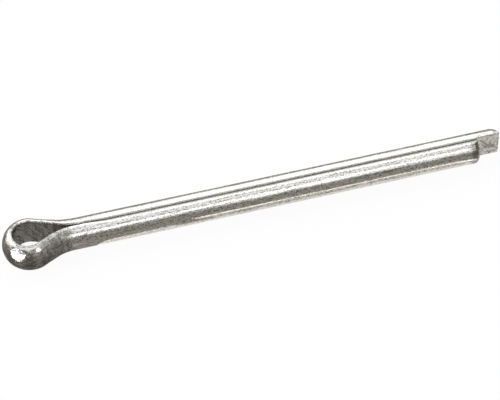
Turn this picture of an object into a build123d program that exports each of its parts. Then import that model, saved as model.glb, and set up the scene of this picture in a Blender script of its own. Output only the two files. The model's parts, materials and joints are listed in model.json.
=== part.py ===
from build123d import *
from math import acos, cos, degrees, radians, sin
import os

# Cotter pin for a 4 mm hole, 50 mm long under the eye, folded from one half-round wire.
# The shank lies along +X, the eye is flat on the XY plane, and the far leg is on the +Y side.
# The origin is on the shank's axis, where the widening neck stops against the hole's rim.
# Lengths are in millimetres and angles in degrees.

# Shank
shank_diameter = 3.7
short_leg_length = 50.0
long_leg_extra = 2.8
slit_width = 0.12
wire_edge_radius = 0.28
end_roll_radius = 0.5

# Eye, pressed thinner and a little higher than the legs
eye_centre_distance = 4.65
eye_inner_radius = 1.77
eye_wire_height = 4.04
apex_thickness = 1.41
far_flank_thickness = 1.3
near_flank_thickness = 1.53

# Flanks and neck: each flank's angle to the shank and the bend of its flat face into the leg
far_flank_angle = 21.4
near_flank_angle = 27.7
far_neck_radius = 8.1
near_neck_radius = 6.2
taper_steps = 6

half_slit = slit_width / 2
shank_radius = shank_diameter / 2
leg_thickness = shank_radius - half_slit
leg_size = (leg_thickness, shank_diameter)
far_flank_size = (far_flank_thickness, eye_wire_height)
near_flank_size = (near_flank_thickness, eye_wire_height)
eye_centre = Vector(-eye_centre_distance, 0)


def wire_section(plane, thickness, height, crown_arc=EllipticalCenterArc):
    """Half-round section of the wire: a flat on the plane's y axis, its crown along the x axis."""
    crown_radius = thickness + half_slit
    crown_radii = (crown_radius,) if crown_arc is CenterArc else (crown_radius, height / 2)
    flat_angle = degrees(acos(half_slit / crown_radius))
    with BuildSketch(plane, mode=Mode.PRIVATE) as section:
        with BuildLine():
            crown = crown_arc((-half_slit, 0), *crown_radii, -flat_angle, arc_size=2 * flat_angle)
            Line(crown @ 1, crown @ 0)
        make_face()
        fillet(section.vertices(), radius=wire_edge_radius)
    return section.sketch.face()


def run_sections(run, start_size, end_size):
    """Sections along a neck and flank, easing from one thickness and height to another."""
    sections = []
    for step in range(taper_steps + 1):
        share = step / taper_steps
        eased = share**2 * (3 - 2 * share)
        size = [start + (end - start) * eased for start, end in zip(start_size, end_size)]
        sections.append(wire_section(section_plane(run, share), *size))
    return sections


def section_plane(path, share):
    """Plane square to the wire at a share of its path's length, its x axis towards the crown."""
    along = path % share
    return Plane(origin=path @ share, x_dir=along.cross(Vector(0, 0, 1)), z_dir=along)


def neck_end(flank_angle, neck_radius):
    """How far along X the neck's bend ends, tangent to the leg and to a flank that touches the eye."""
    angle = radians(flank_angle)
    bend_rise = neck_radius - (neck_radius + half_slit) * cos(angle)
    return eye_centre.X + (eye_inner_radius + bend_rise) / sin(angle)


# The path of the wire's flat, from the far leg round the eye to the near leg
far_neck_end = neck_end(far_flank_angle, far_neck_radius)
near_neck_end = neck_end(near_flank_angle, near_neck_radius)
far_neck_centre = (far_neck_end, half_slit + far_neck_radius)
near_neck_centre = (near_neck_end, -half_slit - near_neck_radius)
eye_turn = 180 + far_flank_angle + near_flank_angle
with BuildLine() as flat_path:
    far_neck = CenterArc(far_neck_centre, far_neck_radius, -90, -far_flank_angle)
    eye_arc = CenterArc(eye_centre, eye_inner_radius, 90 - far_flank_angle, eye_turn)
    near_neck = CenterArc(near_neck_centre, near_neck_radius, 90 + near_flank_angle, -near_flank_angle)
    far_flank = Line(far_neck @ 1, eye_arc @ 0)
    near_flank = Line(eye_arc @ 1, near_neck @ 0)

with BuildPart() as cotter_pin:
    # Legs, sheared square, with the round edge of each end rolled over by the blade
    for side, neck, length in (
        (-1, near_neck @ 1, short_leg_length),
        (1, far_neck @ 0, short_leg_length + long_leg_extra),
    ):
        leg_plane = Plane(origin=neck, x_dir=(0, side, 0), z_dir=(1, 0, 0))
        extrude(wire_section(leg_plane, *leg_size, crown_arc=CenterArc), amount=length - neck.X)
        roll_centre = (length - end_roll_radius, shank_radius - end_roll_radius)
        with BuildSketch(Plane.XZ) as rolled_off:
            with BuildLine():
                roll = CenterArc(roll_centre, end_roll_radius, 0, 90)
                Polyline(roll @ 1, (length, shank_radius), roll @ 0)
            make_face()
        revolve(axis=Axis.X, mode=Mode.SUBTRACT)

    # Necks, flanks and eye, one bent run of wire
    sweep(
        sections=[
            *run_sections(Wire([far_neck, far_flank]), leg_size, far_flank_size),
            wire_section(section_plane(eye_arc, 0.5), apex_thickness, eye_wire_height),
            *run_sections(Wire([near_flank, near_neck]), near_flank_size, leg_size),
        ],
        path=flat_path.line,
        multisection=True,
    )

cotter_pin.part.label = "cotter_pin"
os.makedirs("parts", exist_ok=True)
export_step(cotter_pin.part, "parts/cotter_pin.step")
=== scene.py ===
import json
from math import cos, pi, radians, sin, tan

import bpy
import numpy as np
from mathutils import Matrix, Vector


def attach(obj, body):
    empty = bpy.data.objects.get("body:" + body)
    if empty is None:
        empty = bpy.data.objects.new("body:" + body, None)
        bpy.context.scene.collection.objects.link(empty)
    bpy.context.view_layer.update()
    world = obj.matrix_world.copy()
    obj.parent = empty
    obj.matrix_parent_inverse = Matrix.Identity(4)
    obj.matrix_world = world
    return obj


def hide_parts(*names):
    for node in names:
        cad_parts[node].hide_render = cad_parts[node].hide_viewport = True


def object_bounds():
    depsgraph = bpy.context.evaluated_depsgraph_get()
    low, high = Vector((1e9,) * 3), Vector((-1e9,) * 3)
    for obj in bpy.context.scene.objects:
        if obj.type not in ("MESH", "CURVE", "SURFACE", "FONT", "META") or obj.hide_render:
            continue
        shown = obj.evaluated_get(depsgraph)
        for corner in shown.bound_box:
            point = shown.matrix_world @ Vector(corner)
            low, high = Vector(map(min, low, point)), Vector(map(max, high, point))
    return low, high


bl_info = {
    "name": "Split pin",
    "version": (1, 0, 0),
    "blender": (4, 5, 0),
    "location": "View3D > Sidebar > Split pin",
    "description": "Builds the folded half-round wire of a split pin, its metal and a small photo stage",
    "category": "Object",
}

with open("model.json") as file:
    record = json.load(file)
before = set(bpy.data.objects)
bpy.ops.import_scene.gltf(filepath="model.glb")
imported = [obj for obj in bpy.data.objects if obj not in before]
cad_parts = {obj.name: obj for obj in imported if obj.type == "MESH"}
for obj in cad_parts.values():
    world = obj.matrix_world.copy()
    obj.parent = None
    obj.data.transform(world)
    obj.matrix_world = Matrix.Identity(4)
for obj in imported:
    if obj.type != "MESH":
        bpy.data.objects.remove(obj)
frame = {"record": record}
cad_low, cad_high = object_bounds()
mounts = {mount["name"]: mount for mount in frame["record"]["mounts"]}
MM = 0.001

# The wire's own sizes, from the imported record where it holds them
SHANK_RADIUS = mounts["shank"]["dims"]["r_mm"] * MM
EYE_RADIUS = mounts["eye"]["dims"]["r_mm"] * MM
EYE_DISTANCE = -mounts["eye"]["pos_m"][0]
LONG_LEG_END = cad_high.x
APEX_THICKNESS = -cad_low.x - EYE_DISTANCE - EYE_RADIUS

# Sizes that the record doesn't hold
EYE_HEIGHT = 4.04 * MM
LEG_STEP = 2.8 * MM
SLIT_WIDTH = 0.12 * MM
EDGE_RADIUS = 0.28 * MM

# The photograph's camera: angles round the eye's centre, distance and lens, and how far to the right
# and up of the frame's middle that centre lies, in metres at its distance
VIEW_AZIMUTH = radians(14.095)
VIEW_ELEVATION = radians(49.708)
VIEW_ROLL = radians(-1.337)
VIEW_DISTANCE = 0.28734
VIEW_LENS = 177.9
SENSOR_WIDTH = 36
NEAREST_SEEN = 0.005
EYE_IN_VIEW = (-0.02568, -0.005093)


class WireSizes(bpy.types.PropertyGroup):
    """Sizes of the folded wire."""

    shank_radius: bpy.props.FloatProperty(
        name="Shank radius", description="Radius of the two legs side by side",
        default=SHANK_RADIUS, unit="LENGTH", precision=5)
    eye_radius: bpy.props.FloatProperty(
        name="Eye radius", description="Inner radius of the eye",
        default=EYE_RADIUS, unit="LENGTH", precision=5)
    eye_distance: bpy.props.FloatProperty(
        name="Eye distance", description="From the neck's seat to the eye's centre",
        default=EYE_DISTANCE, unit="LENGTH", precision=5)
    eye_height: bpy.props.FloatProperty(
        name="Eye wire height", description="Height of the wire in the eye",
        default=EYE_HEIGHT, unit="LENGTH", precision=5)
    apex_thickness: bpy.props.FloatProperty(
        name="Apex thickness", description="Thickness of the wire at the far end of the eye",
        default=APEX_THICKNESS, unit="LENGTH", precision=5)
    long_leg_end: bpy.props.FloatProperty(
        name="Long leg end", description="Where the long leg ends, from the neck's seat",
        default=LONG_LEG_END, unit="LENGTH", precision=5)
    leg_step: bpy.props.FloatProperty(
        name="Leg step", description="How much longer one leg is than the other",
        default=LEG_STEP, unit="LENGTH", precision=5)
    slit_width: bpy.props.FloatProperty(
        name="Slit width", description="Gap between the flat sides of the legs",
        default=SLIT_WIDTH, unit="LENGTH", precision=5)
    edge_radius: bpy.props.FloatProperty(
        name="Edge radius", description="Radius of the wire's two long edges",
        default=EDGE_RADIUS, unit="LENGTH", precision=5)


class WireFinish(bpy.types.PropertyGroup):
    """Colours and wear of the metal, and the colour of its painted shade."""

    bright: bpy.props.FloatVectorProperty(
        name="Bright metal", description="Colour of the clean drawn surface",
        subtype="COLOR", size=3, default=(0.79, 0.78, 0.765), min=0, max=1)
    # The dull colour is also the colour of the painted shade on the eye, by the seam and at the rolled
    # end
    dull_and_shade: bpy.props.FloatVectorProperty(
        name="Dull metal", description="Colour of the tarnished and pressed places",
        subtype="COLOR", size=3, default=(0.2, 0.194, 0.18), min=0, max=1)
    roughness: bpy.props.FloatProperty(
        name="Roughness", description="Roughness of the clean drawn surface",
        subtype="FACTOR", default=0.17, min=0, max=1)
    floor_colour: bpy.props.FloatVectorProperty(
        name="Floor", description="Colour of the floor",
        subtype="COLOR", size=3, default=(0.86, 0.86, 0.86), min=0, max=1)


# The wire's path and section

FAR_FLANK_ANGLE = radians(21.4)
NEAR_FLANK_ANGLE = radians(27.7)
FAR_NECK_RADIUS = 8.1 * MM
NEAR_NECK_RADIUS = 6.2 * MM
FAR_FLANK_THICKNESS = 1.3 * MM
NEAR_FLANK_THICKNESS = 1.53 * MM

# Top edges beside the slit: sharp on the long leg, soft on the short one and cut off before upright.
# The legs touch, so each one's flat side moves across the slit by its closing.
SHARP_EDGE_RADIUS = 0.13 * MM
SOFT_EDGE_RADIUS = 0.62 * MM
SOFT_EDGE_CUT = radians(37)
SHORT_LEG_CLOSING, LONG_LEG_CLOSING = 0.04 * MM, 0.08 * MM

# Reach, drop and curve of the roll at each leg's sheared end, and the last sharp corner's radius
LONG_END_ROLL = (0.95 * MM, 0.33 * MM, 1.9)
SHORT_END_ROLL = (0.6 * MM, 0.4 * MM, 2.2)
END_CORNER = 0.07 * MM

# Shallow flats on the eye's crown: place, facing azimuth and elevation, depth and reach, in mm
# and degrees, and how unevenly deep they are pressed
PRESSED_FLATS = (
    ((-6.32, -2.42, 0.95), -38.5, 28.5, 0.055, 1.0),
    ((-3.78, -2.55, 1.55), 14, 47.5, 0.03, 0.8),
)
PRESS_UNEVENNESS = 0.45

# The rim on top of the eye, lightened as a painted highlight: the level from which it is not darkened,
# the level above which the wire's top edges lie, and how far the rim's inner edge, darkened as painted
# shade, reaches from the flat side
RIM_LEVEL = 1.91 * MM
EDGE_LEVEL = 1.2 * MM
INNER_RIM_DEPTH = 0.33 * MM

# How far the rolled surface dips: over the whole wire, and in the eye in large and small lumps
WIRE_DIP = 0.006 * MM
LARGE_LUMPS = 0.02 * MM
SMALL_LUMPS = 0.01 * MM
LUMP_OFFSET = 0.6

# Random fields over the wire's surface: each cell's length along the wire and around it, and the seed
WIRE_DIP_FIELD = (1.7 * MM, 0.9 * MM, 3)
RAGGED_FIELD = (0.7 * MM, 0.45 * MM, 5)
LARGE_LUMP_FIELD = (1.1 * MM, 0.8 * MM, 7)
SMALL_LUMP_FIELD = (0.42 * MM, 0.34 * MM, 11)
MOTTLED_FIELD = (0.3 * MM, 0.22 * MM, 19)
PRESSED_FIELD = (0.33 * MM, 0.28 * MM, 23)

# How darkened each place is, by tarnish on the near flank and by painted shade at the rim's inner edge,
# the seam's soft edge and the near end, how mottled that is, and how far burnish, painted highlight and
# work clean, lighten or roughen it, as shares of full
FLANK_TARNISH, INNER_RIM_SHADE, SOFT_EDGE_SHADE, NEAR_END_SHADE = 0.55, 0.5, 0.55, 0.85
MOTTLED_MEAN, MOTTLED_SPREAD = 0.85, 0.35
BURNISH_CLEANS = 0.85
WORKED_BY_TARNISH = 0.6
FAR_FLANK_HIGHLIGHT = 0.75
HIGHLIGHT_POLISH = 0.9
RIM_GAIN = 2

# Where masks begin and end and how far they take to fade, in distance over the wire
CROWN_FADE = 0.6 * MM
EDGE_FADE = 0.2 * MM
EYE_START_FADE = 3 * MM
EYE_END_FADE = 1.1 * MM
NEAR_EDGE_START, NEAR_EDGE_FADE = 1 * MM, 4 * MM
FAR_EDGE_FADE = 3 * MM
NEAR_FLANK_LEAD, NEAR_FLANK_FADE = 0.8 * MM, 1 * MM
FAR_FLANK_OVERRUN, FAR_FLANK_FADE = 0.8 * MM, 1.4 * MM
FLANK_TARNISH_FADE = 2.2 * MM
WORKED_FADE = 1.4 * MM
RIM_FADE = 0.18 * MM
INNER_RIM_FADE = 0.15 * MM
NEAR_END_REACH, NEAR_END_FADE = 1.3 * MM, 0.5 * MM
SOFT_EDGE_REACH = 0.4 * MM
SEAM_LEVEL, SEAM_REACH, SEAM_START_FADE = 0.9 * MM, 0.3 * MM, 0.3 * MM
ROLL_FADE = 0.8 * MM
BURNISH_FADE = 0.012 * MM
RAGGED_REACH = 0.35 * MM

# Points of one section along its crown, each edge and the flat, and rings from an end to its middle
CROWN_POINTS = 58
EDGE_POINTS = 9
FLAT_POINTS = 14
CAP_RINGS = 12

# Steps of halving in the search for where an edge's round meets the crown
HALVINGS = 40

# Spacing of the rings along the legs, round the eye and at the rolled ends
LEG_SPACING = 0.25 * MM
EYE_SPACING = 0.055 * MM
END_SPACING = 0.04 * MM
END_REACH = 1.8 * MM
NECK_MARGIN = 2 * MM

# Size of the lattice of random values, and the cell at which the wire's start and middle lie
LATTICE = 256
LATTICE_START = 500


def eased(share):
    """Share from 0 to 1 that starts and ends level."""
    share = np.clip(share, 0, 1)
    return share**2 * (3 - 2 * share)


def direction(azimuth, elevation):
    """Unit vector at an azimuth from the front towards +X and an elevation, in degrees."""
    azimuth, elevation = radians(azimuth), radians(elevation)
    return np.array((sin(azimuth) * cos(elevation), -cos(azimuth) * cos(elevation), sin(elevation)))


def flat_runs(sizes):
    """The flat's path as lengths and turns, from the long leg's end round the eye, and its start."""
    half_slit = sizes.slit_width / 2
    eye = Vector((-sizes.eye_distance, 0))

    def neck(angle, radius, side):
        rise = radius - (radius + half_slit) * cos(angle)
        end = Vector((eye.x + (sizes.eye_radius + rise) / sin(angle), side * half_slit))
        bend = end + Vector((-radius * sin(angle), side * radius * (1 - cos(angle))))
        touch = eye + sizes.eye_radius * Vector((sin(angle), side * cos(angle)))
        return end.x, radius * angle, (touch - bend).length

    far_x, far_bend, far_flank = neck(FAR_FLANK_ANGLE, FAR_NECK_RADIUS, 1)
    near_x, near_bend, near_flank = neck(NEAR_FLANK_ANGLE, NEAR_NECK_RADIUS, -1)
    eye_turn = pi + FAR_FLANK_ANGLE + NEAR_FLANK_ANGLE
    short_end = sizes.long_leg_end - sizes.leg_step
    runs = {
        "far_leg": (sizes.long_leg_end - far_x, 0),
        "far_neck": (far_bend, -FAR_FLANK_ANGLE),
        "far_flank": (far_flank, 0),
        "eye": (sizes.eye_radius * eye_turn, eye_turn),
        "near_flank": (near_flank, 0),
        "near_neck": (near_bend, -NEAR_FLANK_ANGLE),
        "near_leg": (short_end - near_x, 0),
    }
    return runs, np.array((sizes.long_leg_end, half_slit))


def run_starts(runs):
    """Distance along the wire at which each run starts, and the wire's whole length."""
    starts, along = {}, 0
    for name, (length, _) in runs.items():
        starts[name] = along
        along += length
    return starts, along


def follow(runs, start, along):
    """Points and headings of the flat's path at distances along the wire."""
    points = np.zeros((len(along), 2))
    headings = np.zeros(len(along))
    at, heading, begun = start, pi, 0
    for length, turn in runs.values():
        def step(run):
            if turn == 0:
                return np.stack((run * cos(heading), run * sin(heading)), -1)
            bend = turn / length
            end = heading + bend * run
            return np.stack((np.sin(end) - sin(heading), cos(heading) - np.cos(end)), -1) / bend

        here = (along >= begun) & (along <= begun + length)
        run = along[here] - begun
        points[here] = at + step(run)
        headings[here] = heading + turn * run / length
        at = at + step(np.array([length]))[0]
        heading += turn
        begun += length
    return points, headings


def wire_sizes(sizes, runs, along):
    """The wire's thickness and height at distances along it."""
    starts, _ = run_starts(runs)
    leg = np.array((sizes.shank_radius - sizes.slit_width / 2, 2 * sizes.shank_radius))
    far = np.array((FAR_FLANK_THICKNESS, sizes.eye_height))
    apex = np.array((sizes.apex_thickness, sizes.eye_height))
    near = np.array((NEAR_FLANK_THICKNESS, sizes.eye_height))
    middle = starts["eye"] + runs["eye"][0] / 2
    size = np.tile(leg, (len(along), 1))
    for begin, end, first, last in (
        (starts["far_neck"], starts["eye"], leg, far),
        (starts["eye"], middle, far, apex),
        (middle, starts["near_flank"], apex, near),
        (starts["near_flank"], starts["near_leg"], near, leg),
    ):
        here = (along > begin) & (along <= end)
        share = eased((along[here] - begin) / (end - begin))[:, None]
        size[here] = first + (last - first) * share
    return size[:, 0], size[:, 1]


def outline(thickness, height, top_edge, low_edge, top_cut, half_slit):
    """Section outline at each station: depth from the flat and height, with the outward normals."""
    deep, high = (thickness + half_slit)[:, None], (height / 2)[:, None]

    def crown(angle):
        normal = np.stack((np.cos(angle) / deep, np.sin(angle) / high), -1)
        normal /= np.linalg.norm(normal, axis=-1, keepdims=True)
        place = np.stack((deep * np.cos(angle) - half_slit, high * np.sin(angle)), -1)
        return place, normal

    def corner(edge, cut):
        """Where the crown meets an edge round, and that round's points from the crown to the flat."""
        low, top = np.zeros_like(edge), np.full_like(edge, pi / 2)
        for _ in range(HALVINGS):
            middle = (low + top) / 2
            place, normal = crown(middle)
            inside = place[..., 0] - edge * normal[..., 0] > edge * np.cos(cut)
            low, top = np.where(inside, middle, low), np.where(inside, top, middle)
        place, normal = crown(low)
        centre = place - edge[..., None] * normal
        lean = np.arctan2(normal[..., 1], normal[..., 0])
        angle = lean + (pi - cut - lean) * np.linspace(0, 1, EDGE_POINTS + 1)[None, 1:]
        normals = np.stack((np.cos(angle), np.sin(angle)), -1)
        return low, centre[..., 1] + edge * np.sin(cut), centre + edge[..., None] * normals, normals

    top_turn, top_end, top_place, top_normal = corner(top_edge[:, None], top_cut[:, None])
    no_cut = np.zeros_like(top_cut)
    low_turn, low_end, low_place, low_normal = corner(low_edge[:, None], no_cut[:, None])
    share = np.linspace(0, 1, CROWN_POINTS)[None, :]
    crown_place, crown_normal = crown(-low_turn + (top_turn + low_turn) * share)
    share = np.linspace(0, 1, FLAT_POINTS)[None, 1:-1]
    level = top_end - (top_end + low_end) * share
    flat_place = np.stack((np.zeros_like(level), level), -1)
    flat_normal = np.broadcast_to(np.array((-1.0, 0.0)), flat_place.shape)
    mirror = np.array((1.0, -1.0))
    places = (crown_place, top_place, flat_place, (low_place * mirror)[:, ::-1])
    normals = (crown_normal, top_normal, flat_normal, (low_normal * mirror)[:, ::-1])
    return np.concatenate(places, 1), np.concatenate(normals, 1)


def unevenness(along, around, cell_along, cell_around, seed):
    """Smooth random field from -1 to 1 over two distances, from a seeded lattice of values."""
    grid = np.random.default_rng(seed).uniform(-1, 1, (LATTICE, LATTICE))
    u, v = along / cell_along + LATTICE_START, around / cell_around + LATTICE_START
    i, j = np.floor(u).astype(int), np.floor(v).astype(int)
    a, b = eased(u - i), eased(v - j)
    i0, i1 = i % LATTICE, (i + 1) % LATTICE
    j0, j1 = j % LATTICE, (j + 1) % LATTICE
    first = grid[i0, j0] * (1 - a) + grid[i1, j0] * a
    last = grid[i0, j1] * (1 - a) + grid[i1, j1] * a
    return first * (1 - b) + last * b


def stations(runs):
    """Distances along the wire of its rings, closest round the eye and at both ends."""
    starts, whole = run_starts(runs)
    bend_start = starts["far_neck"] - NECK_MARGIN
    bend_end = starts["near_leg"] + NECK_MARGIN
    marks = (
        (0, END_REACH, END_SPACING),
        (END_REACH, bend_start, LEG_SPACING),
        (bend_start, bend_end, EYE_SPACING),
        (bend_end, whole - END_REACH, LEG_SPACING),
        (whole - END_REACH, whole, END_SPACING),
    )
    rings = [np.linspace(a, b, int(round((b - a) / step)) + 1)[:-1] for a, b, step in marks]
    return np.concatenate((*rings, [whole]))


def wire_surface(sizes):
    """Every ring's points in space, its place on the straightened wire, and the masks for wear, painted
    shade and painted highlight.
    """
    runs, start = flat_runs(sizes)
    starts, whole = run_starts(runs)
    half_slit = sizes.slit_width / 2
    along = stations(runs)
    points, headings = follow(runs, start, along)
    thickness, height = wire_sizes(sizes, runs, along)
    low_edge = np.full_like(along, sizes.edge_radius)
    on_near_leg = eased((along - starts["near_leg"] - NEAR_EDGE_START) / NEAR_EDGE_FADE)
    on_far_leg = eased((starts["far_neck"] - along) / FAR_EDGE_FADE)
    top_edge = low_edge + (SOFT_EDGE_RADIUS - low_edge) * on_near_leg
    top_edge += (SHARP_EDGE_RADIUS - low_edge) * on_far_leg
    top_cut = SOFT_EDGE_CUT * on_near_leg
    place, normal = outline(thickness, height, top_edge, low_edge, top_cut, half_slit)

    closed = np.concatenate((place, place[:, :1]), 1)
    around = np.cumsum(np.linalg.norm(np.diff(closed, axis=1), axis=2), 1)
    around -= around[:, CROWN_POINTS // 2][:, None]
    station = np.broadcast_to(along[:, None], around.shape)
    crown_side = eased(place[..., 0] / CROWN_FADE)

    # Where the eye begins and ends, raggedly at the near neck
    ragged_edge = RAGGED_REACH * unevenness(station, around, *RAGGED_FIELD)
    to_near_leg = starts["near_leg"] - station + ragged_edge
    in_eye = eased((station - starts["far_neck"]) / EYE_START_FADE) * eased(to_near_leg / EYE_END_FADE)
    on_near_flank = eased((station - starts["near_flank"] + NEAR_FLANK_LEAD) / NEAR_FLANK_FADE)
    past_far_flank = eased((station - starts["eye"] - FAR_FLANK_OVERRUN) / FAR_FLANK_FADE)

    # Darkening: on the eye's crown below the rim level, tarnish on the near flank, and painted shade at
    # the rim's inner edge, by the seam and at the near leg's rolled end
    below_rim = eased((RIM_LEVEL - place[..., 1]) / RIM_FADE)
    above_edge = eased((place[..., 1] - EDGE_LEVEL) / EDGE_FADE)
    flank_tarnish = FLANK_TARNISH * on_near_flank * eased(to_near_leg / FLANK_TARNISH_FADE)
    mottled = MOTTLED_MEAN + MOTTLED_SPREAD * unevenness(station, around, *MOTTLED_FIELD)
    tarnish_and_shade = np.maximum(below_rim, flank_tarnish) * crown_side * mottled
    inner_rim = (1 - eased((place[..., 0] - INNER_RIM_DEPTH) / INNER_RIM_FADE)) * above_edge
    tarnish_and_shade = np.maximum(tarnish_and_shade, INNER_RIM_SHADE * inner_rim) * in_eye * past_far_flank
    soft_edge = on_near_leg[:, None] * above_edge
    soft_edge = soft_edge * (1 - eased((place[..., 0] - SOFT_EDGE_REACH) / EDGE_FADE))
    near_end = eased((station - whole + NEAR_END_REACH) / NEAR_END_FADE)
    near_end = on_near_leg[:, None] * near_end * crown_side
    tarnish_and_shade = np.maximum(tarnish_and_shade, SOFT_EDGE_SHADE * soft_edge)
    tarnish_and_shade = np.maximum(tarnish_and_shade, NEAR_END_SHADE * near_end)
    worked = on_near_flank * crown_side * eased(to_near_leg / WORKED_FADE)

    # The legs rest against each other
    against = 1 - eased(place[..., 0] / EDGE_FADE)
    closing = SHORT_LEG_CLOSING * on_near_leg + LONG_LEG_CLOSING * on_far_leg
    place[..., 0] -= closing[:, None] * against
    depth = place[..., 0].copy()

    # Slight unevenness of the rolled wire, and the lumps of the eye
    dent = WIRE_DIP * (unevenness(station, around, *WIRE_DIP_FIELD) - 1)
    lumps = LARGE_LUMPS * (unevenness(station, around, *LARGE_LUMP_FIELD) - LUMP_OFFSET)
    lumps += SMALL_LUMPS * (unevenness(station, around, *SMALL_LUMP_FIELD) - LUMP_OFFSET)
    dent = (dent + lumps * in_eye) * crown_side
    place = place + normal * dent[..., None]

    crown_way = np.stack((np.sin(headings), -np.cos(headings)), -1)
    spread = place[..., :1] * crown_way[:, None, :]
    space = np.concatenate((points[:, None, :] + spread, place[..., 1:]), -1)

    # The flats pressed into the crown, lightened where they are, partly as burnish and partly as painted
    # highlight
    burnish_and_highlight = np.zeros_like(around)
    uneven = 1 + PRESS_UNEVENNESS * unevenness(station, around, *PRESSED_FIELD)
    for centre, azimuth, elevation, pressed, reach in PRESSED_FLATS:
        facing = direction(azimuth, elevation)
        apart = space - np.array(centre) * MM
        over = np.maximum(apart @ facing + pressed * uneven * MM, 0)
        near = eased(2 - np.linalg.norm(apart, axis=-1) / (reach * MM))
        space = space - (over * near)[..., None] * facing
        burnish_and_highlight = np.maximum(burnish_and_highlight, eased(over / BURNISH_FADE) * near)

    # The round edge of each end rolls over where the blade came down
    for end, (reach, drop, curve) in ((0, LONG_END_ROLL), (whole, SHORT_END_ROLL)):
        left = np.abs(along - end)[:, None]
        rolled = drop * np.clip(1 - left / reach, 0, 1) ** curve * eased(depth / ROLL_FADE)
        tip = np.clip(1 - left / END_CORNER, 0, 1)
        rolled = rolled + END_CORNER * (1 - np.sqrt(1 - tip**2))
        away = np.linalg.norm(space[..., 1:], axis=-1)
        limit = sizes.shank_radius - rolled
        over = (left < reach) & (away > limit)
        space[..., 1:] *= np.where(over, limit / np.maximum(away, 1e-9), 1)[..., None]

    # Lightened as painted highlight beside the seam, on the far flank and on the rim, and on the flats
    # partly as burnish
    straight = np.stack((station, around, depth), -1)
    worked = np.maximum(worked, WORKED_BY_TARNISH * tarnish_and_shade * in_eye) * (1 - burnish_and_highlight)
    tarnish_and_shade = tarnish_and_shade * (1 - BURNISH_CLEANS * burnish_and_highlight)
    beside_near_leg = eased((along - sizes.leg_step) / SEAM_START_FADE)
    at_seam_level = eased((place[..., 1] - SEAM_LEVEL) / EDGE_FADE)
    at_seam = at_seam_level * (1 - eased((depth - SEAM_REACH) / EDGE_FADE))
    seam_and_flank_highlight = (on_near_leg + on_far_leg * beside_near_leg)[:, None] * at_seam
    seam_and_flank_highlight = np.maximum(seam_and_flank_highlight, FAR_FLANK_HIGHLIGHT * in_eye * (1 - past_far_flank) * crown_side)
    rim = (1 - inner_rim) * (1 - below_rim) * in_eye * (1 - on_near_flank) * crown_side
    polish_and_highlight = np.maximum(burnish_and_highlight, HIGHLIGHT_POLISH * np.maximum(seam_and_flank_highlight, eased(rim * RIM_GAIN)))
    return space, {"straight_wire": straight, "in_eye": in_eye, "crown_side": crown_side,
                   "tarnish_and_shade": tarnish_and_shade, "worked": worked, "polish_and_highlight": polish_and_highlight}


def end_cap(ring):
    """Rings from a sheared end's edge in to its middle."""
    middle = ring.mean(0)
    shares = (np.arange(1, CAP_RINGS) / CAP_RINGS)[:, None, None]
    return ring[None] * (1 - shares) + middle * shares, middle


# Meshes and materials


def add_attribute(mesh, name, kind, values):
    """Stores one value for each of the mesh's points."""
    field = mesh.attributes.new(name, kind, "POINT")
    key = "vector" if kind == "FLOAT_VECTOR" else "value"
    field.data.foreach_set(key, np.ascontiguousarray(values, dtype=np.float32).ravel())


def bent_wire_mesh(sizes):
    """The folded wire as one closed mesh, with its sheared ends."""
    space, fields = wire_surface(sizes)
    rings, around = space.shape[:2]
    first_cap, first_middle = end_cap(space[0])
    last_cap, last_middle = end_cap(space[-1])
    grid = np.concatenate((first_cap[::-1], space, last_cap))
    depth = len(first_cap)
    points = np.concatenate((grid.reshape(-1, 3), [first_middle, last_middle]))

    def padded(values):
        """The rings' values with the ends' values carried over their caps."""
        grown = np.concatenate(
            (np.repeat(values[:1], depth, 0), values, np.repeat(values[-1:], depth, 0))
        )
        flat = grown.reshape(-1, *values.shape[2:])
        return np.concatenate((flat, values[:1, 0], values[-1:, 0]))

    count = len(grid)
    index = np.arange(count * around).reshape(count, around)
    follow_on = np.roll(index, -1, 1)
    quads = np.stack((index[:-1], index[1:], follow_on[1:], follow_on[:-1]), -1).reshape(-1, 4)
    first, last = count * around, count * around + 1
    faces = quads.tolist()
    faces += [[first, int(a), int(b)] for a, b in zip(index[0], follow_on[0])]
    faces += [[last, int(b), int(a)] for a, b in zip(index[-1], follow_on[-1])]
    mesh = bpy.data.meshes.new("bent_wire")
    mesh.from_pydata(points.tolist(), [], faces)
    mesh.validate()
    mesh.update()
    mesh.shade_smooth()
    for name, values in fields.items():
        add_attribute(mesh, name, "FLOAT_VECTOR" if values.ndim == 3 else "FLOAT", padded(values))
    cut = np.zeros(len(points))
    cut[: depth * around] = 1
    cut[(depth + rings) * around:] = 1
    add_attribute(mesh, "cut_end", "FLOAT", cut)
    return mesh


def node_maker(tree):
    """A short way to add a node with its settings and its inputs' values or links."""

    def add(kind, inputs=None, **settings):
        node = tree.nodes.new(kind)
        for key, value in settings.items():
            setattr(node, key, value)
        for key, value in (inputs or {}).items():
            socket = node.inputs[key]
            if isinstance(value, bpy.types.NodeSocket):
                tree.links.new(value, socket)
            else:
                socket.default_value = value
        return node

    return add


# Noise over the straightened wire, in waves to a metre along, around and into it
DRAWN_LINES = (260, 6400, 6400)
FORMING_STREAKS = (3400, 420, 420)
CLOUDS = (2300, 3000, 3000)
FINE_GRAIN = (5400, 6400, 6400)
SCRATCHES = (450, 3400, 3400)
SCRATCH_TURN = 0.9

# The noise values between which pits, scratches and the grain's shade rise from none to full, and
# the shares of the run and of the fine grain in that shade
PIT_RANGE = (0.58, 0.72)
SCRATCH_RANGE = (0.54, 0.6)
SHADE_RANGE = (1.75, 2.3)
RUN_SHARE, FINE_SHARE = 1.1, 2.2

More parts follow.
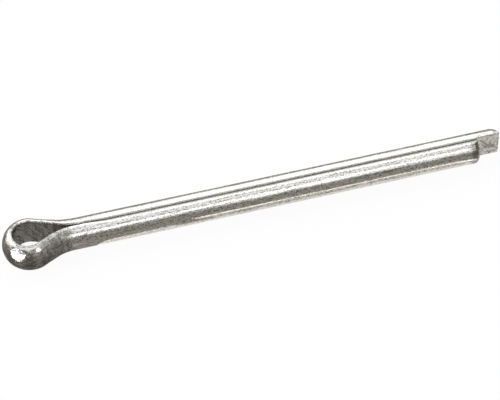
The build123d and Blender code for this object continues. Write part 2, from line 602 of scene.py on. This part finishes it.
# What scratches take from the shade, what pits and clouds add to the roughness, and heights
SCRATCH_SHADE = 0.55
PIT_ROUGHNESS = 0.12
CLOUD_ROUGHNESS = (0.3, 0.7, -0.08, 0.12)
SCRATCH_DEPTH, PIT_DEPTH = 0.4, 0.6
FINE_HEIGHT, RUN_HEIGHT = 0.5, 0.5

# What dulls the metal or darkens it as painted shade, what polish and painted highlight spare, what
# roughens and pits it, as shares of full, and the height of its relief
TARNISH_AND_SHADE_DULLS, EYE_WALL_SHADE, GRAIN_DULLS = 0.6, 0.2, 0.9
POLISH_SPARES = 0.8
CUT_ROUGHENS, FLAT_ROUGHENS, WORK_ROUGHENS = 0.15, 0.1, 0.28
TARNISH_PITS, PLAIN_PITS = 0.9, 0.15
TARNISH_RELIEF = 1.3
BUMP_STRENGTH = 0.6
BUMP_DISTANCE = 0.02 * MM


def grain_group():
    """Drawn grain, forming streaks, pits and scratches: a shade, a roughness and a height."""
    group = bpy.data.node_groups.new("drawn_grain", "ShaderNodeTree")
    face = group.interface
    for name, kind, default in (
        ("Wire place", "NodeSocketVector", (0, 0, 0)),
        ("Pitting", "NodeSocketFloat", 0.3),
        ("Forming", "NodeSocketFloat", 0),
        ("Scratching", "NodeSocketFloat", 0),
    ):
        face.new_socket(name, in_out="INPUT", socket_type=kind).default_value = default
    for name in ("Shade", "Roughness", "Height"):
        face.new_socket(name, in_out="OUTPUT", socket_type="NodeSocketFloat")
    add = node_maker(group)
    given = add("NodeGroupInput").outputs

    def noise(scale, detail, turn=0.0, roughness=0.5):
        """Noise with so many waves to a metre along, around and into the wire."""
        place = add("ShaderNodeMapping", {"Vector": given["Wire place"],
                                          "Rotation": (0, 0, turn)}).outputs[0]
        place = add("ShaderNodeVectorMath", {0: place, 1: scale}, operation="MULTIPLY").outputs[0]
        return add("ShaderNodeTexNoise", {"Vector": place, "Scale": 1, "Detail": detail,
                                          "Roughness": roughness}).outputs[0]

    def ramp(value, low, high, to_low=0.0, to_high=1.0):
        """A value's rise from low to high, as a share or between two other values."""
        return add("ShaderNodeMapRange", {"Value": value, "From Min": low, "From Max": high,
                                          "To Min": to_low, "To Max": to_high}).outputs[0]

    def plus(value, share, more):
        """A share of a value, plus more."""
        return add("ShaderNodeMath", {0: value, 1: share, 2: more}, operation="MULTIPLY_ADD").outputs[0]

    lines = noise(DRAWN_LINES, 4)
    streaks = noise(FORMING_STREAKS, 4)
    cloud = noise(CLOUDS, 6, roughness=0.66)
    fine = noise(FINE_GRAIN, 3)
    scratch = noise(SCRATCHES, 2, turn=SCRATCH_TURN)
    run = add("ShaderNodeMix", {0: given["Forming"], 2: lines, 3: streaks}).outputs[0]
    pits = plus(ramp(fine, *PIT_RANGE), given["Pitting"], 0.0)
    scratches = plus(ramp(scratch, *SCRATCH_RANGE), given["Scratching"], 0.0)
    mixed = plus(run, RUN_SHARE, plus(fine, FINE_SHARE, cloud))
    shade = plus(pits, -1.0, ramp(mixed, *SHADE_RANGE))
    shade = add("ShaderNodeMath", {0: scratches, 1: -SCRATCH_SHADE, 2: shade},
                operation="MULTIPLY_ADD", use_clamp=True).outputs[0]
    rough = plus(pits, PIT_ROUGHNESS, ramp(cloud, *CLOUD_ROUGHNESS))
    height = plus(fine, FINE_HEIGHT, plus(run, RUN_HEIGHT, cloud))
    height = plus(scratches, -SCRATCH_DEPTH, plus(pits, -PIT_DEPTH, height))
    add("NodeGroupOutput", {"Shade": shade, "Roughness": rough, "Height": height})
    return group


def wire_metal(finish, grain):
    """Bright drawn wire, duller and pitted where it was pressed and bent, darkened by painted shade and
    lightened by painted highlight where the wire's masks say.
    """
    metal = bpy.data.materials.new("bright_wire")
    metal.use_nodes = True
    tree = metal.node_tree
    tree.nodes.clear()
    add = node_maker(tree)

    def field(name, output="Fac"):
        return add("ShaderNodeAttribute", attribute_name=name).outputs[output]

    def plus(value, share, more):
        """A share of a value, plus more."""
        return add("ShaderNodeMath", {0: value, 1: share, 2: more}, operation="MULTIPLY_ADD").outputs[0]

    in_eye, cut, tarnish_and_shade = field("in_eye"), field("cut_end"), field("tarnish_and_shade")
    flat = plus(field("crown_side"), -1.0, 1.0)
    worn = add("ShaderNodeGroup", node_tree=grain)
    for name, value in (
        ("Wire place", field("straight_wire", "Vector")),
        ("Pitting", plus(tarnish_and_shade, TARNISH_PITS, PLAIN_PITS)),
        ("Forming", in_eye),
        ("Scratching", flat),
    ):
        tree.links.new(value, worn.inputs[name])
    shade = worn.outputs["Shade"]
    # Darker on the eye's inner wall as painted shade, under the mask of tarnish and painted shade, and
    # on the cut ends
    eye_flat = add("ShaderNodeMath", {0: flat, 1: in_eye}, operation="MULTIPLY").outputs[0]
    dulled = plus(eye_flat, EYE_WALL_SHADE, plus(tarnish_and_shade, TARNISH_AND_SHADE_DULLS, cut))
    # Grain and relief are spared where polished and where the painted highlight lies
    outside_polish_and_highlight = plus(field("polish_and_highlight"), -POLISH_SPARES, 1.0)
    grime = add("ShaderNodeMath", {0: plus(shade, -GRAIN_DULLS, GRAIN_DULLS), 1: outside_polish_and_highlight},
                operation="MULTIPLY").outputs[0]
    dulled = add("ShaderNodeMath", {0: grime, 1: dulled}, operation="ADD", use_clamp=True).outputs[0]
    colour = add("ShaderNodeMix", {0: dulled, 6: (*finish.bright, 1), 7: (*finish.dull_and_shade, 1)},
                 data_type="RGBA").outputs[2]
    rough = plus(field("worked"), WORK_ROUGHENS, worn.outputs["Roughness"])
    rough = plus(cut, CUT_ROUGHENS, plus(flat, FLAT_ROUGHENS, rough))
    rough = add("ShaderNodeMath", {0: rough, 1: finish.roughness}, operation="ADD").outputs[0]
    relief = plus(tarnish_and_shade, TARNISH_RELIEF, outside_polish_and_highlight)
    height = add("ShaderNodeMath", {0: worn.outputs["Height"], 1: relief},
                 operation="MULTIPLY").outputs[0]
    bump = add("ShaderNodeBump", {"Height": height, "Strength": BUMP_STRENGTH,
                                  "Distance": BUMP_DISTANCE}).outputs[0]
    shader = add("ShaderNodeBsdfPrincipled", {"Base Color": colour, "Metallic": 1,
                                              "Roughness": rough, "Normal": bump})
    add("ShaderNodeOutputMaterial", {"Surface": shader.outputs[0]})
    return metal


# The stage

FLOOR_REACH = 1.5
FLOOR_WHITE = 0.95

# How much of the floor's and the world's white the metal mirrors
MIRRORED_WHITE = 0.12

# The room's dim light
ROOM_COLOUR = (1, 0.95, 0.85)
ROOM_LEVEL = 0.2

# Cards just above the floor, unlit by the lamps but glowing, that only glossy rays see and that paint
# reflections into the metal: painted shade of the floor near the pin and at the neck, painted light
# under the pin, under the neck and at the tip, a painted highlight line, and a dark painted reflection
# whose outer edge is raised: colour, the two places along X that their round ends are centred on, then
# loops of reach and rise above the floor, in mm
PAINTED_REFLECTION_CARDS = (
    ("painted_near_shade_card", (0.62, 0.6, 0.555), (-4.65, 52.8), ((2.6, 0.02), (4.9, 0.02))),
    ("painted_under_light_card", (0.95, 0.93, 0.88), (6, 50), ((0.5, 0.038), (2.6, 0.038))),
    ("painted_under_neck_light_card", (1.15, 1.12, 1.06), (4, 11), ((0.5, 0.033), (3.3, 0.033))),
    ("painted_neck_shade_card", (0.34, 0.325, 0.29), (6, 12), ((3.2, 0.035), (6.3, 0.035))),
    ("painted_tip_light_card", (0.76, 0.74, 0.69), (51.5, 54), ((0.01, 0.04), (3.2, 0.04))),
    ("painted_highlight_card", (2.3, 2.2, 2.0), (14, 46), ((4.9, 0.03), (5.8, 0.03))),
    ("painted_dark_reflection_card", (0.32, 0.305, 0.27), (-4.65, 52.8), ((4.9, 0.02), (70, 0.02), (74, 10))),
)

# The card under the eye, darker and cut off at the neck, a painted shadow that only the metal mirrors:
# colour, inner and outer reach from the eye's centre, the place along X where it is cut off and its
# rise, in mm
EYE_SHADOW_CARD = ("painted_eye_shadow_card", (0.26, 0.248, 0.222), (0.01, 6), 0.0, 0.05)
EYE_CARD_CORNERS = 48

# Soft lamps, all at one distance from the origin: azimuth from the front towards +X, elevation,
# width and height as seen in degrees, and level
LAMP_DISTANCE = 0.45
LAMPS = {
    "overhead_lamp": (180, 86, 58, 72, 0.86),
    "back_lamp": (180, 39, 110, 78, 1.4),
    "back_left_lamp": (-118, 24, 44, 48, 2.0),
    "front_strip_lamp": (24, 43.5, 40, 12, 2.6),
    "front_fade_lamp": (19, 30.5, 14, 13, 0.8),
    "front_left_lamp": (-54, 5, 20, 10, 14),
}


def stage_piece(name, mesh, material):
    """Links a stage mesh to the scene and marks it as no part of the object."""
    piece = bpy.data.objects.new(name, mesh)
    bpy.context.collection.objects.link(piece)
    mesh.materials.append(material)
    return piece


def white_share(add, seen=1.0):
    """How white a surface is for the camera, and how far the metal mirrors that white."""
    rays = add("ShaderNodeLightPath").outputs
    mirrored = add("ShaderNodeMath", {0: rays["Is Glossy Ray"], 1: rays["Is Transmission Ray"]},
                   operation="MAXIMUM").outputs[0]
    mirrored = add("ShaderNodeMath", {0: mirrored, 1: MIRRORED_WHITE}, operation="MULTIPLY").outputs[0]
    return add("ShaderNodeMath", {0: rays["Is Camera Ray"], 1: seen, 2: mirrored},
               operation="MULTIPLY_ADD").outputs[0]


def floor_material(finish):
    """Pale floor that the camera sees as white, with the object's soft shadow kept."""
    pale = bpy.data.materials.new("pale_floor")
    pale.use_nodes = True
    tree = pale.node_tree
    tree.nodes.clear()
    add = node_maker(tree)
    plain = add("ShaderNodeBsdfDiffuse", {"Color": (*finish.floor_colour, 1)}).outputs[0]
    white = add("ShaderNodeEmission", {"Color": (1, 1, 1, 1), "Strength": 1}).outputs[0]
    both = add("ShaderNodeMixShader", {0: white_share(add, FLOOR_WHITE), 1: plain,
                                       2: white}).outputs[0]
    add("ShaderNodeOutputMaterial", {"Surface": both})
    return pale


def card_material(name, colour):
    """Card glowing in one colour, unlit by the lamps, that paints a reflection into the metal."""
    card = bpy.data.materials.new(name)
    card.use_nodes = True
    card.node_tree.nodes.clear()
    add = node_maker(card.node_tree)
    grey = add("ShaderNodeEmission", {"Color": (*colour, 1), "Strength": 1}).outputs[0]
    add("ShaderNodeOutputMaterial", {"Surface": grey})
    return card


def loop_mesh(name, loops):
    """Mesh that joins loops of equally many points."""
    count = len(loops[0])
    points = [point for loop in loops for point in loop]
    faces = []
    for ring in range(len(loops) - 1):
        for i in range(count):
            j = (i + 1) % count
            faces.append((ring * count + i, ring * count + j,
                          (ring + 1) * count + j, (ring + 1) * count + i))
    mesh = bpy.data.meshes.new(name)
    mesh.from_pydata(points, [], faces)
    mesh.update()
    return mesh


def round_loop(gap, height, begin_x, end_x, corners=12):
    """Rounded loop round the object's footprint at a gap from its middle line."""
    points = []
    for centre, begin in ((end_x, -pi / 2), (begin_x, pi / 2)):
        for i in range(corners + 1):
            angle = begin + pi * i / corners
            points.append((centre + gap * cos(angle), gap * sin(angle), height))
    return points


def cut_loop(reach, height, cut_x):
    """Loop round the eye's centre, cut off straight at a place along X."""
    turns = np.linspace(0, 2 * pi, EYE_CARD_CORNERS, endpoint=False)
    return [(min(reach * sin(turn) - EYE_DISTANCE, cut_x), -reach * cos(turn), height) for turn in turns]


def soft_lamp(name, azimuth, elevation, wide, high, level):
    """Rectangular lamp facing the origin, given by its direction, its size as seen and its level."""
    way = Vector(direction(azimuth, elevation))
    lamp = bpy.data.lights.new(name, "AREA")
    lamp.shape = "RECTANGLE"
    lamp.size = 2 * LAMP_DISTANCE * tan(radians(wide) / 2)
    lamp.size_y = 2 * LAMP_DISTANCE * tan(radians(high) / 2)
    lamp.energy = level * pi * lamp.size * lamp.size_y
    holder = bpy.data.objects.new(name, lamp)
    turned = way.to_track_quat("Z", "Y").to_matrix().to_4x4()
    holder.matrix_world = Matrix.Translation(way * LAMP_DISTANCE) @ turned
    bpy.context.collection.objects.link(holder)


def studio_world():
    """White for the camera; for the light, the dim walls of a room."""
    world = bpy.data.worlds.new("studio")
    bpy.context.scene.world = world
    world.use_nodes = True
    tree = world.node_tree
    tree.nodes.clear()
    add = node_maker(tree)
    dim = add("ShaderNodeBackground", {"Color": (*ROOM_COLOUR, 1), "Strength": ROOM_LEVEL}).outputs[0]
    white = add("ShaderNodeBackground", {"Color": (1, 1, 1, 1), "Strength": 1}).outputs[0]
    both = add("ShaderNodeMixShader", {0: white_share(add), 1: dim, 2: white}).outputs[0]
    add("ShaderNodeOutputWorld", {"Surface": both})


def photo_camera():
    """The camera at the photograph's viewing angle."""
    a, e, roll = VIEW_AZIMUTH, VIEW_ELEVATION, VIEW_ROLL
    back = Vector((-sin(a) * cos(e), -cos(a) * cos(e), sin(e)))
    right = Vector((cos(a), -sin(a), 0))
    up = back.cross(right)
    side = right * cos(roll) + up * sin(roll)
    rise = up * cos(roll) - right * sin(roll)
    place = Vector((-EYE_DISTANCE, 0, 0)) + back * VIEW_DISTANCE
    place -= side * EYE_IN_VIEW[0] + rise * EYE_IN_VIEW[1]
    lens = bpy.data.cameras.new("photo_camera")
    lens.lens = VIEW_LENS
    lens.sensor_width = SENSOR_WIDTH
    lens.clip_start = NEAREST_SEEN
    camera = bpy.data.objects.new("photo_camera", lens)
    camera.matrix_world = Matrix.Translation(place) @ Matrix((side, rise, back)).transposed().to_4x4()
    bpy.context.collection.objects.link(camera)
    bpy.context.scene.camera = camera


class SPLITPIN_OT_wire(bpy.types.Operator):
    """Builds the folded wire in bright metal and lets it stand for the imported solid."""

    bl_idname = "splitpin.wire"
    bl_label = "Folded wire"

    def execute(self, context):
        sizes, finish = context.scene.wire_sizes, context.scene.wire_finish
        mesh = bent_wire_mesh(sizes)
        if len(mesh.polygons) == 0:
            raise RuntimeError("the wire has no faces: check its sizes")
        wire = bpy.data.objects.new("bent_wire", mesh)
        context.collection.objects.link(wire)
        mesh.materials.append(wire_metal(finish, grain_group()))
        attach(wire, "root")
        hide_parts("cotter_pin")
        return {"FINISHED"}


class SPLITPIN_OT_stage(bpy.types.Operator):
    """Lays the pale floor, the cards that paint reflections into the metal, the lamps and the camera."""

    bl_idname = "splitpin.stage"
    bl_label = "Stage, lamps and camera"

    def execute(self, context):
        finish = context.scene.wire_finish
        level = cad_low.z
        floor = bpy.data.meshes.new("floor")
        sides = ((-1, -1), (1, -1), (1, 1), (-1, 1))
        corners = [(x * FLOOR_REACH, y * FLOOR_REACH, level) for x, y in sides]
        floor.from_pydata(corners, [], [(0, 1, 2, 3)])
        stage_piece("floor", floor, floor_material(finish))
        cards = []
        for name, colour, (begin, end), loops in PAINTED_REFLECTION_CARDS:
            cards.append((name, colour, [
                round_loop(gap * MM, level + rise * MM, begin * MM, end * MM) for gap, rise in loops
            ]))
        name, colour, reaches, cut_x, rise = EYE_SHADOW_CARD
        cards.append((name, colour, [
            cut_loop(reach * MM, level + rise * MM, cut_x * MM) for reach in reaches
        ]))
        # Each card paints light or shade only into the metal's reflections: the camera, diffuse light
        # and shadows don't see it
        for name, colour, loops in cards:
            card = stage_piece(name, loop_mesh(name, loops), card_material(name, colour))
            for flag in ("camera", "diffuse", "transmission", "volume_scatter", "shadow"):
                setattr(card, "visible_" + flag, False)
        for name, settings in LAMPS.items():
            soft_lamp(name, *settings)
        studio_world()
        photo_camera()
        context.scene.view_settings.view_transform = "Standard"
        return {"FINISHED"}


class SPLITPIN_PT_panel(bpy.types.Panel):
    """Lists the split pin's sizes, finish and operators."""

    bl_label = "Split pin"
    bl_idname = "SPLITPIN_PT_panel"
    bl_space_type = "VIEW_3D"
    bl_region_type = "UI"
    bl_category = "Split pin"

    def draw(self, context):
        for group in (context.scene.wire_sizes, context.scene.wire_finish):
            for key in group.__annotations__:
                self.layout.prop(group, key)
        for operator in OPERATORS:
            self.layout.operator(operator.bl_idname)


OPERATORS = (SPLITPIN_OT_wire, SPLITPIN_OT_stage)
CLASSES = (WireSizes, WireFinish, *OPERATORS, SPLITPIN_PT_panel)


def register():
    for cls in CLASSES:
        bpy.utils.register_class(cls)
    bpy.types.Scene.wire_sizes = bpy.props.PointerProperty(type=WireSizes)
    bpy.types.Scene.wire_finish = bpy.props.PointerProperty(type=WireFinish)


def unregister():
    del bpy.types.Scene.wire_sizes
    del bpy.types.Scene.wire_finish
    for cls in reversed(CLASSES):
        bpy.utils.unregister_class(cls)


def main():
    register()
    bpy.ops.splitpin.wire()
    bpy.ops.splitpin.stage()


if __name__ == "__main__":
    main()
